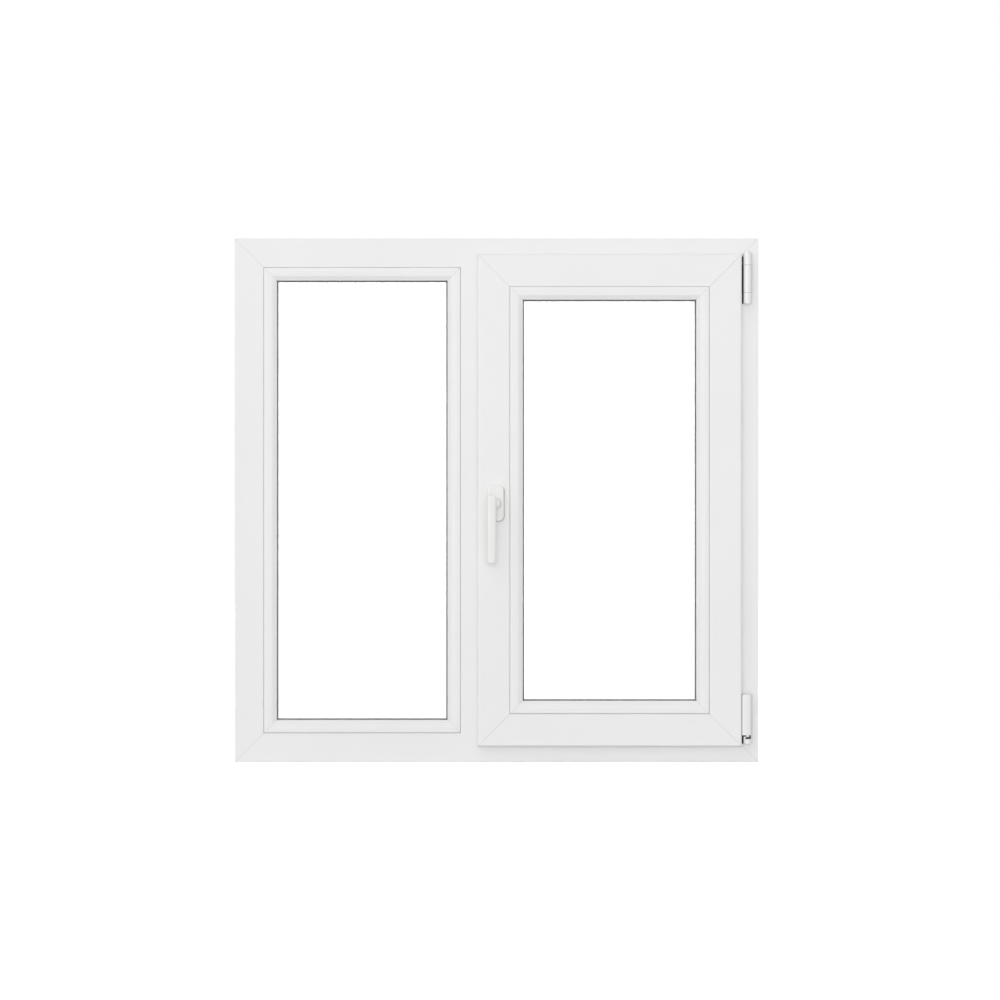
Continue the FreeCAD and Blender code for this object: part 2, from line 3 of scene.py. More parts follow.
import bmesh
import bpy
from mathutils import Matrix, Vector


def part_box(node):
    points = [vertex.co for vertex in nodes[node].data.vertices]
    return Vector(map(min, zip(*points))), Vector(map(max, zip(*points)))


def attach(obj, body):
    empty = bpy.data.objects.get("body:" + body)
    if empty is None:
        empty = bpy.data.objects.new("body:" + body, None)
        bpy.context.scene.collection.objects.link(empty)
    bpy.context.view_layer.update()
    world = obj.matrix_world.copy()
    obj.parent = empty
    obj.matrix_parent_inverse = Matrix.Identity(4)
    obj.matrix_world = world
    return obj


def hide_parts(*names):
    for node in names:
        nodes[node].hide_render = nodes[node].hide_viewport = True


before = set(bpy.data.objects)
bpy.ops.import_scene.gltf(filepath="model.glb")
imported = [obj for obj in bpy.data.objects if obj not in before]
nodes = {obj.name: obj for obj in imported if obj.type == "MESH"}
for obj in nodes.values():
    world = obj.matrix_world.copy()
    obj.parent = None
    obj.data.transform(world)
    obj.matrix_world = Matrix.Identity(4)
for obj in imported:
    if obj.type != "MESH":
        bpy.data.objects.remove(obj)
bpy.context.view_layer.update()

# Camera: square on to the room side of the window, from far off with a long lens. The photograph is
# 1.91 m wide at the frame's room face, with the window a little left of its middle.
frame_room_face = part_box("frame_sill")[0].y
camera_distance = 16.0
photo_width = 1.9104
photo_centre = (0.0067, 0.5005)
camera_data = bpy.data.cameras.new("camera")
camera_data.lens = camera_data.sensor_width * camera_distance / photo_width
camera = bpy.data.objects.new("camera", camera_data)
camera.location = (photo_centre[0], frame_room_face - camera_distance, photo_centre[1])
camera.rotation_euler = (math.radians(90), 0, 0)
bpy.context.scene.collection.objects.link(camera)
bpy.context.scene.camera = camera

# Outer frame and mullion: lengths of white PVC profile, extruded, sawn to mitres and welded. The skin is
# satin, with faint die lines along each length and a slight ripple from cooling, so uprights and
# crosspieces have their own grain direction.
UPRIGHT = (1.0, 1.0, 0.004)
ACROSS = (0.004, 1.0, 1.0)


def add_node(material, kind, **inputs):
    """A shader node with its inputs set; a value may be a plain number or another node's output."""
    node = material.node_tree.nodes.new(kind)
    for name, value in inputs.items():
        socket = node.inputs[name.replace("_", " ")]
        if isinstance(value, bpy.types.NodeSocket):
            material.node_tree.links.new(value, socket)
        else:
            socket.default_value = value
    return node


def new_material(name):
    """An empty node material, its Principled shader and the Object coordinates its patterns read."""
    material = bpy.data.materials.new(name)
    material.use_nodes = True
    shader = material.node_tree.nodes["Principled BSDF"]
    place = add_node(material, "ShaderNodeTexCoord").outputs["Object"]
    return material, shader, place


def noise(material, place, scale, stretch=(1, 1, 1), detail=2.0):
    """Noise of so many waves to the metre, drawn out along a direction by stretch."""
    drawn = add_node(material, "ShaderNodeMapping", Vector=place, Scale=stretch)
    return add_node(
        material, "ShaderNodeTexNoise", Vector=drawn.outputs["Vector"], Scale=scale, Detail=detail
    ).outputs["Fac"]


def spread(material, value, low, high):
    """A noise value spread from low to high."""
    node = add_node(
        material, "ShaderNodeMapRange", Value=value, From_Min=0.3, From_Max=0.7, To_Min=low, To_Max=high
    )
    return node.outputs["Result"]


def shades(material, value, dark, light):
    """A colour that goes from dark to light with a noise value."""
    ramp = add_node(material, "ShaderNodeValToRGB", Fac=value)
    ramp.color_ramp.elements[0].position = 0.3
    ramp.color_ramp.elements[0].color = (*dark, 1)
    ramp.color_ramp.elements[1].position = 0.7
    ramp.color_ramp.elements[1].color = (*light, 1)
    return ramp.outputs["Color"]


def join(material, shader, colour=None, roughness=None, bump=None, strength=0.1, depth=0.0001):
    """Sends the patterns to the shader."""
    links = material.node_tree.links
    if colour:
        links.new(colour, shader.inputs["Base Color"])
    if roughness:
        links.new(roughness, shader.inputs["Roughness"])
    if bump:
        relief = add_node(material, "ShaderNodeBump", Height=bump, Strength=strength, Distance=depth)
        links.new(relief.outputs["Normal"], shader.inputs["Normal"])


def pvc(name, stretch, dark, light, rough=(0.28, 0.36)):
    """White PVC skin: die lines along the length, a soft ripple, and the least drift of tone."""
    material, shader, place = new_material(name)
    drift = noise(material, place, 5.0)
    die_lines = noise(material, place, 900.0, stretch, 3.0)
    ripple = noise(material, place, 45.0)
    relief = add_node(material, "ShaderNodeMath")
    relief.operation = "MULTIPLY_ADD"
    for slot, value in zip(relief.inputs, (ripple, 4.0, die_lines)):
        if isinstance(value, float):
            slot.default_value = value
        else:
            material.node_tree.links.new(value, slot)
    shader.inputs["IOR"].default_value = 1.5
    join(
        material,
        shader,
        colour=shades(material, drift, dark, light),
        roughness=spread(material, die_lines, *rough),
        bump=relief.outputs["Value"],
        strength=0.06,
        depth=0.00006,
    )
    return material


def finish_node(name, material):
    """Gives a CAD node its finish."""
    for slot in nodes[name].material_slots:
        slot.material = material


frame_white = ((0.856, 0.856, 0.853), (0.871, 0.871, 0.869))
frame_upright = pvc("frame_pvc_upright", UPRIGHT, *frame_white)
frame_across = pvc("frame_pvc_across", ACROSS, *frame_white)
for name in ("frame_jamb_left", "frame_jamb_right", "mullion"):
    finish_node(name, frame_upright)
for name in ("frame_head", "frame_sill"):
    finish_node(name, frame_across)

# Weld seams: where the mitred lengths are welded, the bead of melted PVC is planed off and leaves a fine
# seam, a shade greyer than the skin, down in the groove. The mullion's ends are welded in and dressed
# flush, with no groove.
seam_width = 0.0011
seam_depth = 0.00045
seam_thickness = 0.0002
seam_start = 0.0012
bead_foot = 0.0033
flange_width = 0.025
weld_half_height = 0.0012
weld_stand = 0.00002
weld_depth = 0.0006
seam_grey = pvc("weld_seam_pvc", (1, 1, 1), (0.60, 0.60, 0.60), (0.68, 0.68, 0.68), rough=(0.4, 0.55))


def add_box(mesh, low, high):
    """Adds a box between two corners to a bmesh."""
    corners = [
        mesh.verts.new((x, y, z))
        for x in (low[0], high[0])
        for y in (low[1], high[1])
        for z in (low[2], high[2])
    ]
    for face in ((0, 1, 3, 2), (4, 6, 7, 5), (0, 4, 5, 1), (2, 3, 7, 6), (0, 2, 6, 4), (1, 5, 7, 3)):
        mesh.faces.new([corners[i] for i in face])


def ring_corners(low, high):
    """The four corners of a ring of profile, each with its way inwards across and up."""
    return (
        (low.x, low.z, 1, 1),
        (high.x, low.z, -1, 1),
        (high.x, high.z, -1, -1),
        (low.x, high.z, 1, -1),
    )


def close_loop(mesh, rings):
    """Joins each ring of points to the next, and the last to the first."""
    count = len(rings[0])
    for index, ring in enumerate(rings):
        following = rings[(index + 1) % len(rings)]
        for point in range(count):
            after = (point + 1) % count
            mesh.faces.new((ring[point], ring[after], following[after], following[point]))


def new_piece(name, mesh, material, body):
    """A finished piece from a bmesh, riding on its body."""
    bmesh.ops.recalc_face_normals(mesh, faces=mesh.faces)
    data = bpy.data.meshes.new(name)
    mesh.to_mesh(data)
    mesh.free()
    data.materials.append(material)
    piece = bpy.data.objects.new(name, data)
    bpy.context.scene.collection.objects.link(piece)
    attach(piece, body)
    return piece


def corner_seams(name, low, high, width):
    """Four thin strips that lie in the mitres of a ring of profile, on its room side."""
    mesh = bmesh.new()
    y = low.y + seam_depth
    half = seam_width / 2 / math.sqrt(2)
    back = Vector((0, seam_thickness, 0))
    for x, z, across, up in ring_corners(low, high):
        start = Vector((x + across * seam_start, y, z + up * seam_start))
        end = Vector((x + across * width, y, z + up * width))
        side = Vector((-across * half, 0, up * half))
        ring = [start - side, end - side, end + side, start + side]
        front_face = [mesh.verts.new(p) for p in ring]
        back_face = [mesh.verts.new(p + back) for p in ring]
        mesh.faces.new(front_face)
        mesh.faces.new(back_face[::-1])
        for i in range(4):
            j = (i + 1) % 4
            mesh.faces.new((front_face[i], back_face[i], back_face[j], front_face[j]))
    return new_piece(name, mesh, seam_grey, "window")


frame_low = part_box("frame_jamb_left")[0]
frame_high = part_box("frame_jamb_right")[1]
frame_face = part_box("fixed_bead_left")[0].x - frame_low.x + bead_foot
corner_seams("frame_weld_seams", frame_low, frame_high, frame_face)
sash_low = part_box("sash_stile_handle")[0]
sash_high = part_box("sash_stile_hinge")[1]
sash_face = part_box("sash_bead_left")[0].x - sash_low.x + bead_foot
corner_seams("sash_weld_seams", sash_low, sash_high, sash_face)

dressed = bmesh.new()
mullion_low, mullion_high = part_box("mullion")
joint_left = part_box("fixed_bead_right")[1].x - bead_foot
joint_right = mullion_high.x - flange_width
for joint in (frame_face, frame_high.z - frame_face):
    low = (joint_left, frame_low.y - weld_stand, joint - weld_half_height)
    high = (joint_right, frame_low.y + weld_depth, joint + weld_half_height)
    add_box(dressed, low, high)
new_piece("mullion_welds", dressed, frame_upright, "window")

# Sash: the same PVC, in a heavier profile that stands 18 mm proud of the frame, mitred and welded. Its lip
# laps over the frame all round.
sash_white = ((0.857, 0.857, 0.854), (0.872, 0.872, 0.87))
sash_upright = pvc("sash_pvc_upright", UPRIGHT, *sash_white)
sash_across = pvc("sash_pvc_across", ACROSS, *sash_white)
for name in ("sash_stile_handle", "sash_stile_hinge"):
    finish_node(name, sash_upright)
for name in ("sash_rail_top", "sash_rail_bottom"):
    finish_node(name, sash_across)

# Glazing beads: thin PVC lengths snapped into the rebate on the room side to hold the glass, mitred dry
# at the corners. They stand a hair proud of the profiles, with an open joint beside them, a round outer
# edge and a flat slope to the glass, and are a touch glossier.
bead_white = ((0.858, 0.858, 0.856), (0.873, 0.873, 0.871))
bead_upright = pvc("bead_pvc_upright", UPRIGHT, *bead_white, rough=(0.22, 0.3))
bead_across = pvc("bead_pvc_across", ACROSS, *bead_white, rough=(0.22, 0.3))
bead_joint_gap = 0.00012


def rounded(points):
    """A closed outline in mm from (run, deep, radius) corners, each corner rounded by its radius."""
    outline = []
    for index, (run, deep, radius) in enumerate(points):
        here = Vector((run, deep))
        if not radius:
            outline.append(tuple(here))
            continue
        before = (Vector(points[index - 1][:2]) - here).normalized()
        after = (Vector(points[(index + 1) % len(points)][:2]) - here).normalized()
        opening = before.angle(after)
        reach = radius / math.tan(opening / 2)
        middle = here + (before + after).normalized() * (radius / math.sin(opening / 2))
        first, last = here + before * reach - middle, here + after * reach - middle
        for step in range(7):
            outline.append(tuple(middle + first.slerp(last, step / 6)))
    return outline


def mitred_length(name, node, side, outline, material):
    """One side of a mitred ring in place of its CAD node, from an outline in mm: run inwards from the
    node's outer edge, deep from the node's room side."""
    low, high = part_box(node)
    ends = ([], [])
    mesh = bmesh.new()
    for run, deep in outline:
        run, y = run / 1000, low.y + deep / 1000
        cut = run + bead_joint_gap
        if side in ("left", "right"):
            x = low.x + run if side == "left" else high.x - run
            places = ((x, y, low.z + cut), (x, y, high.z - cut))
        else:
            z = low.z + run if side == "bottom" else high.z - run
            places = ((low.x + cut, y, z), (high.x - cut, y, z))
        for end, place in zip(ends, places):
            end.append(mesh.verts.new(place))
    for point in range(len(outline)):
        after = (point + 1) % len(outline)
        mesh.faces.new((ends[0][point], ends[0][after], ends[1][after], ends[1][point]))
    mesh.faces.new(ends[0][::-1])
    mesh.faces.new(ends[1])
    piece = new_piece(name, mesh, material, "window")
    piece.data.shade_smooth()
    piece.data.set_sharp_from_angle(angle=math.radians(24))
    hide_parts(node)
    return piece


def bead_outline(joint):
    """A bead's outline, with this open joint between it and the edge of the rebate."""
    edge = 1000 * bead_foot + joint
    return rounded([
        (edge, -1.4, 1.3),
        (20.9, -1.4, 3.0),
        (28.7, 3.7, 1.6),
        (28.7, 24.5, 0),
        (edge, 24.5, 0),
        (edge, 7.5, 0),
        (0.0, 7.5, 0),
        (0.0, 3.9, 0),
        (edge, 3.9, 0),
    ])


for light in ("fixed", "sash"):
    for side, joint, material in (
        ("left", 0.45, bead_upright),
        ("right", 0.3, bead_upright),
        ("top", 0.15, bead_across),
        ("bottom", 0.65, bead_across),
    ):
        bead = f"{light}_glazing_bead_{side}"
        mitred_length(bead, f"{light}_bead_{side}", side, bead_outline(joint), material)

# Panes: clear float glass, four to a window in two sealed units. Float glass is nearly flat, with a long
# faint roll from the line, and a trace of haze where hands and rain have been.
glass, shader, place = new_material("float_glass")
shader.inputs["Base Color"].default_value = (0.995, 1.0, 0.998, 1)
shader.inputs["IOR"].default_value = 1.5
shader.inputs["Transmission Weight"].default_value = 1.0
roll = noise(glass, place, 3.0, (1.0, 1.0, 0.3), 1.0)
haze = noise(glass, place, 14.0, (1.0, 1.0, 0.5), 4.0)
join(glass, shader, roughness=spread(glass, haze, 0.0, 0.012), bump=roll, strength=0.05, depth=0.0005)
for light in ("fixed", "sash"):
    for side in ("inside", "outside"):
        finish_node(f"{light}_pane_{side}", glass)

# Spacer bars and sealant: a hollow aluminium bar, bent round between the panes and filled with drying
# beads, with black sealant behind it. Two rows of fine slots in the bar let the air reach the beads. The
# slots are thin dark dashes: the grain of the beads, with the shade inside each slot painted into their
# colour.
slot_length = 0.0016
slot_width = 0.0004
slot_pitch = 0.004
slot_relief = 0.00003
slot_row_offset = 0.0045

aluminium, shader, place = new_material("spacer_aluminium")
shader.inputs["Metallic"].default_value = 1.0
brushed = noise(aluminium, place, 1500.0, (0.05, 1.0, 0.05), 2.0)
tone = noise(aluminium, place, 20.0)
join(
    aluminium,
    shader,
    colour=shades(aluminium, tone, (0.7, 0.7, 0.72), (0.78, 0.78, 0.8)),
    roughness=spread(aluminium, brushed, 0.34, 0.5),
    bump=brushed,
    strength=0.2,
    depth=0.00005,
)
sealant, shader, place = new_material("edge_sealant_black")
lumps = noise(sealant, place, 220.0, detail=3.0)
join(
    sealant,
    shader,
    colour=shades(sealant, lumps, (0.035, 0.035, 0.035), (0.06, 0.06, 0.06)),
    roughness=spread(sealant, lumps, 0.55, 0.75),
    bump=lumps,
    strength=0.4,
    depth=0.0004,
)
# Slot colour: painted shade of each slot's inside, over a fine grain of drying beads.
slot_beads_and_shade, shader, place = new_material("spacer_slot_beads_and_painted_shade")
grains = noise(slot_beads_and_shade, place, 3000.0)
join(
    slot_beads_and_shade,
    shader,
    colour=shades(slot_beads_and_shade, grains, (0.05, 0.05, 0.045), (0.16, 0.155, 0.14)),
    roughness=spread(slot_beads_and_shade, grains, 0.7, 0.9),
)


def new_tree(name, inputs):
    """A geometry node tree with named inputs for its sizes, and its input and output nodes."""
    tree = bpy.data.node_groups.new(name, "GeometryNodeTree")
    sockets = {}
    for label, value in inputs.items():
        sockets[label] = tree.interface.new_socket(label, in_out="INPUT", socket_type="NodeSocketFloat")
        sockets[label].default_value = value
    tree.interface.new_socket("Geometry", in_out="OUTPUT", socket_type="NodeSocketGeometry")
    start = tree.nodes.new("NodeGroupInput")
    end = tree.nodes.new("NodeGroupOutput")
    return tree, start, end


def wire(tree, output, node, socket):
    """Links one node's output to another node's input."""
    tree.links.new(output, node.inputs[socket])


def grown(name, tree, values, material, body):
    """The mesh that a tree makes with these values, as a plain piece on its body."""
    seed = bpy.data.objects.new(name + "_seed", bpy.data.meshes.new(name + "_seed"))
    bpy.context.scene.collection.objects.link(seed)
    modifier = seed.modifiers.new("make", "NODES")
    modifier.node_group = tree
    labels = {item.name: item.identifier for item in tree.interface.items_tree if item.in_out == "INPUT"}
    for label, value in values.items():
        modifier[labels[label]] = value
    evaluated = seed.evaluated_get(bpy.context.evaluated_depsgraph_get())
    mesh = bpy.data.meshes.new_from_object(evaluated)
    bpy.data.objects.remove(seed)
    mesh.name = name
    mesh.materials.clear()
    mesh.materials.append(material)
    piece = bpy.data.objects.new(name, mesh)
    bpy.context.scene.collection.objects.link(piece)
    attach(piece, body)
    return piece


def slot_row_tree(material):
    """Dashes on a rectangle's four sides, lying in the plane of the pane and facing its middle."""
    tree, start, end = new_tree(
        "spacer_slots",
        {
            "Width": 0.3,
            "Height": 0.8,
            "Pitch": slot_pitch,
            "Length": slot_length,
            "Breadth": slot_width,
            "Relief": slot_relief,
        },
    )
    path = tree.nodes.new("GeometryNodeCurvePrimitiveQuadrilateral")
    wire(tree, start.outputs["Width"], path, "Width")
    wire(tree, start.outputs["Height"], path, "Height")
    points = tree.nodes.new("GeometryNodeCurveToPoints")
    points.mode = "LENGTH"
    wire(tree, path.outputs["Curve"], points, "Curve")
    wire(tree, start.outputs["Pitch"], points, "Length")
    size = tree.nodes.new("ShaderNodeCombineXYZ")
    wire(tree, start.outputs["Breadth"], size, "X")
    wire(tree, start.outputs["Relief"], size, "Y")
    wire(tree, start.outputs["Length"], size, "Z")
    dash = tree.nodes.new("GeometryNodeMeshCube")
    wire(tree, size.outputs["Vector"], dash, "Size")
    spots = tree.nodes.new("GeometryNodeInstanceOnPoints")
    wire(tree, points.outputs["Points"], spots, "Points")
    wire(tree, dash.outputs["Mesh"], spots, "Instance")
    wire(tree, points.outputs["Rotation"], spots, "Rotation")
    real = tree.nodes.new("GeometryNodeRealizeInstances")
    wire(tree, spots.outputs["Instances"], real, "Geometry")
    paint = tree.nodes.new("GeometryNodeSetMaterial")
    wire(tree, real.outputs["Geometry"], paint, "Geometry")
    paint.inputs["Material"].default_value = material
    wire(tree, paint.outputs["Geometry"], end, "Geometry")
    return tree


slot_tree = slot_row_tree(slot_beads_and_shade)
spacer_height = 0.0065
for light in ("fixed", "sash"):
    bar = f"{light}_spacer_bar"
    finish_node(bar, aluminium)
    finish_node(f"{light}_edge_sealant", sealant)
    low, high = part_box(bar)
    middle = (low + high) / 2
    sizes = {"Width": high.x - low.x - 2 * spacer_height, "Height": high.z - low.z - 2 * spacer_height}
    row = grown(f"{light}_spacer_slots", slot_tree, sizes, slot_beads_and_shade, "window")
    made = bmesh.new()
    for offset in (-slot_row_offset, slot_row_offset):
        made.from_mesh(row.data)
        for vertex in made.verts[-len(row.data.vertices):]:
            flat = vertex.co.copy()
            vertex.co = (middle.x + flat.x, middle.y + offset + flat.z, middle.z + flat.y)
    bmesh.ops.recalc_face_normals(made, faces=made.faces)
    made.to_mesh(row.data)
    made.free()

# Seals: soft grey extruded rubber in one ring for each rebate, mitred and joined at the corners. Each has
# a foot in its slot and a rounded lip with fine ribs, which bears on the glass or on the shut sash. A pale
# fin closes the gap between the edge of the sash and the frame.
rubber, shader, place = new_material("seal_rubber_grey")
bloom = noise(rubber, place, 60.0, detail=4.0)
skin = noise(rubber, place, 2500.0, detail=2.0)
shader.inputs["Sheen Weight"].default_value = 0.1
join(
    rubber,
    shader,
    colour=shades(rubber, bloom, (0.155, 0.155, 0.16), (0.215, 0.215, 0.22)),
    roughness=spread(rubber, skin, 0.55, 0.7),
    bump=skin,
    strength=0.25,
    depth=0.00006,
)


def seal_ring(name, node, section):
    """A ring of seal in place of its CAD node, from its section in mm: run inwards from the node's
    outer edge, deep from the node's room side."""
    low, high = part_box(node)
    mesh = bmesh.new()
    rings = []
    for x, z, across, up in ring_corners(low, high):
        ring = []
        for run, deep in section:
            run, deep = run / 1000, deep / 1000
            ring.append(mesh.verts.new((x + across * run, low.y + deep, z + up * run)))
        rings.append(ring)
    close_loop(mesh, rings)
    piece = new_piece(name, mesh, rubber, "window")
    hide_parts(node)
    return piece


def ribbed(start, end, ribs, height):
    """Points from start to end, with rounded ribs that stand out to the left of the way."""
    a, b = Vector(start), Vector(end)
    left = Vector((-(b - a).y, (b - a).x)).normalized() * height
    steps = ribs * 4
    return [tuple(a.lerp(b, i / steps) + left * abs(math.sin(math.pi * i / 4))) for i in range(steps + 1)]


inside_section = [
    *((0.0, 1.0), (2.95, 1.0), (3.1, 0.5), (3.5, 0.15), (4.1, 0.2)),
    *((4.75, 0.9), (5.2, 2.1), (5.4, 3.2), (5.35, 4.0)),
    *ribbed((5.0, 3.85), (1.0, 3.85), 4, 0.15),
    (0.0, 4.0),
]
outside_section = [
    *ribbed((0.0, 0.15), (7.6, 0.15), 5, 0.15),
    *((8.2, 0.0), (8.5, 0.35), (8.45, 1.1), (8.0, 2.1), (7.3, 3.0)),
    *((4.9, 3.0), (4.9, 6.0), (2.6, 6.0), (2.6, 3.0), (0.0, 3.0)),
]
lip_section = [
    *((5.0, 0.0), (5.0, 3.0), (5.4, 3.0)),
    *ribbed((6.0, 3.4), (5.7, 5.2), 2, 0.1),
    *((4.6, 6.0), (1.4, 6.0), (0.3, 5.3)),
    *ribbed((0.0, 5.0), (0.0, 3.4), 2, 0.1),
    *((0.6, 3.0), (1.0, 3.0), (1.0, 0.0)),
]
for light in ("fixed", "sash"):
    seal_ring(f"{light}_seal_inside", f"{light}_glass_seal_inside", inside_section)
    seal_ring(f"{light}_seal_outside", f"{light}_glass_seal_outside", outside_section)
seal_ring("sash_seal_lip", "sash_lip_seal", lip_section)
seal_ring("frame_seal_rebate", "frame_rebate_seal", outside_section)

fin_rubber, shader, place = new_material("seal_fin_pale_grey")
bloom = noise(fin_rubber, place, 60.0, detail=4.0)
skin = noise(fin_rubber, place, 2500.0, detail=2.0)
join(
    fin_rubber,
    shader,
    colour=shades(fin_rubber, bloom, (0.7, 0.7, 0.7), (0.76, 0.76, 0.755)),
    roughness=spread(fin_rubber, skin, 0.5, 0.62),
    bump=skin,
    strength=0.2,
    depth=0.00005,
)
fin_thickness = 0.0028
fin_slack = 0.00005
fin_inset = 0.0007
fin_margin = 0.0001
leaf_clearance = 0.0015
room_side, wall_side = frame_low.y - fin_thickness, frame_low.y - fin_slack
out_left, out_bottom = sash_low.x + fin_inset, sash_low.z + fin_inset
out_right, out_top = sash_high.x - fin_inset, sash_high.z - fin_inset
seal_low, seal_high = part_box("sash_lip_seal")
in_left, in_bottom = seal_low.x - fin_margin, seal_low.z - fin_margin
in_right, in_top = seal_high.x + fin_margin, seal_high.z + fin_margin
lower_leaf, upper_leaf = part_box("bottom_hinge_sash_leaf"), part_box("top_hinge_sash_leaf")
fin = bmesh.new()
add_box(fin, (out_left, room_side, out_bottom), (in_left, wall_side, out_top))
add_box(fin, (in_left, room_side, out_bottom), (out_right, wall_side, in_bottom))
add_box(fin, (in_left, room_side, in_top), (out_right, wall_side, out_top))
for bottom, top in (
    (in_bottom, lower_leaf[0].z - leaf_clearance),
    (lower_leaf[1].z + leaf_clearance, upper_leaf[0].z - leaf_clearance),
    (upper_leaf[1].z + leaf_clearance, in_top),
):
    add_box(fin, (in_right, room_side, bottom), (out_right, wall_side, top))
new_piece("sash_seal_fin", fin, fin_rubber, "window")

# Hinges: steel knuckles on the sash and on the frame with a pin through them, sprayed white, on dark steel
# leaves that reach under the edge of the sash. The lower one stands on a pivot in a white rest and has a
# clip-on cover. Nylon washers lie between the upper one's knuckles. The near black of the leaves, the
# frame plates and the lower pivot pin is partly blackened steel and partly painted shade, so that the gaps
# beside the hinges read black.
def enamel(name, dark, light, rough):
    """Sprayed satin coat: the fine orange skin of paint, and the least drift of tone."""
    material, shader, place = new_material(name)
    drift = noise(material, place, 12.0)
    peel = noise(material, place, 850.0, detail=1.5)
    shader.inputs["IOR"].default_value = 1.5
    join(
        material,
        shader,
        colour=shades(material, drift, dark, light),
        roughness=spread(material, peel, *rough),
        bump=peel,
        strength=0.12,
        depth=0.00003,
    )
    return material


def steel(name, dark, light, rough, metallic):
    """Plated or blackened steel, with fine drawn scratches along its length."""
    material, shader, place = new_material(name)
    shader.inputs["Metallic"].default_value = metallic
    scratches = noise(material, place, 1800.0, (1.0, 1.0, 0.06), 3.0)
    tarnish = noise(material, place, 90.0)
    join(
        material,
        shader,
        colour=shades(material, tarnish, dark, light),
        roughness=spread(material, scratches, *rough),
        bump=scratches,
        strength=0.2,
        depth=0.00003,
    )
    return material


hinge_coat = enamel("hinge_enamel", (0.86, 0.86, 0.858), (0.88, 0.88, 0.878), (0.3, 0.38))
# Leaves, frame plates and pivot pin: near black, partly blackened steel and partly painted shade for the
# deep gaps beside the hinges.
gap_shade_steel = steel("hinge_blackened_steel_and_painted_shade", (0.03, 0.03, 0.032), (0.055, 0.055, 0.057), (0.45, 0.6), 0.3)
zinc_steel = steel("hinge_zinc_plated_steel", (0.56, 0.56, 0.57), (0.66, 0.66, 0.67), (0.28, 0.42), 1.0)
for knuckle in ("upper_knuckle", "sash_knuckle", "lower_knuckle"):
    finish_node(f"top_hinge_{knuckle}", hinge_coat)
for piece in ("cover", "pivot_rest"):
    finish_node(f"bottom_hinge_{piece}", hinge_coat)
for hinge in ("top_hinge", "bottom_hinge"):
    finish_node(f"{hinge}_sash_leaf", gap_shade_steel)
    finish_node(f"{hinge}_frame_plate", gap_shade_steel)
finish_node("bottom_hinge_pivot_pin", gap_shade_steel)
finish_node("top_hinge_pin", zinc_steel)

washer_nylon, shader, place = new_material("hinge_washer_nylon")
wear = noise(washer_nylon, place, 400.0, detail=3.0)
join(
    washer_nylon,
    shader,
    colour=shades(washer_nylon, wear, (0.05, 0.05, 0.05), (0.09, 0.09, 0.09)),
    roughness=spread(washer_nylon, wear, 0.5, 0.7),
    bump=wear,
    strength=0.15,
    depth=0.00003,
)
washer_bore = 0.00312
washer_radius = 0.0066
washer_slack = 0.00003
washer_sides = 40
washers = bmesh.new()
sash_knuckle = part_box("top_hinge_sash_knuckle")
pin_low, pin_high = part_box("top_hinge_pin")
hinge_axis = (pin_low + pin_high) / 2
for under, over in (
    (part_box("top_hinge_lower_knuckle")[1].z, sash_knuckle[0].z),
    (sash_knuckle[1].z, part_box("top_hinge_upper_knuckle")[0].z),
):
    rings = []
    for radius, z in (
        (washer_bore, under + washer_slack),
        (washer_radius, under + washer_slack),
        (washer_radius, over - washer_slack),
        (washer_bore, over - washer_slack),
    ):
        ring = []
        for step in range(washer_sides):
            turn = math.radians(step * 360 / washer_sides)
            x = hinge_axis.x + radius * math.cos(turn)
            y = hinge_axis.y + radius * math.sin(turn)
            ring.append(washers.verts.new((x, y, z)))
        rings.append(ring)
    close_loop(washers, rings)
new_piece("top_hinge_washers", washers, washer_nylon, "window")

# Handle: a cast aluminium lever and its rosette, both sprayed satin white. The rosette clips down over its
# two screws onto a base plate, and the lever turns in it on a square spindle. The base plate is near black
# and set a little right of and below the rosette, so its thin rim is a painted contact shadow along the
# rosette's right and lower edges.
handle_coat = enamel("handle_enamel", (0.852, 0.852, 0.836), (0.872, 0.872, 0.856), (0.16, 0.22))
for name in ("handle_rosette", "handle_lever"):
    finish_node(name, handle_coat)

# Near-black base plate: its visible rim is painted contact shadow, not the colour of a real base.
rosette_shadow_plate, shader, place = new_material("rosette_rim_painted_shadow")
grain = noise(rosette_shadow_plate, place, 1400.0, detail=3.0)
join(
    rosette_shadow_plate,
    shader,
    colour=shades(rosette_shadow_plate, grain, (0.09, 0.09, 0.09), (0.14, 0.14, 0.14)),
    roughness=spread(rosette_shadow_plate, grain, 0.5, 0.65),
    bump=grain,
    strength=0.2,
    depth=0.00004,
)
# The rim is moved right and down, where the rosette's shadow falls, so the painted shadow shows on those
# two sides only.
shadow_shift = 0.0005
base_height = 0.0008
base_edge = 0.0002
base_overlap = 0.0012
rosette_corner = 0.010
corner_steps = 8
rosette_low, rosette_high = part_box("handle_rosette")
rosette_back = rosette_high.y
base_front = rosette_back - base_height


def rosette_ring(inset, shift, y):
    """Points round the rosette's outline, drawn in by inset and moved right and down by shift."""
    radius = rosette_corner - inset
    points = []
    for x, z, start in (
        (rosette_high.x - rosette_corner, rosette_high.z - rosette_corner, 0),
        (rosette_low.x + rosette_corner, rosette_high.z - rosette_corner, 90),
        (rosette_low.x + rosette_corner, rosette_low.z + rosette_corner, 180),
        (rosette_high.x - rosette_corner, rosette_low.z + rosette_corner, 270),
    ):
        for step in range(corner_steps + 1):
            turn = math.radians(start + step * 90 / corner_steps)
            points.append((x + radius * math.cos(turn) + shift, y, z + radius * math.sin(turn) - shift))
    return points


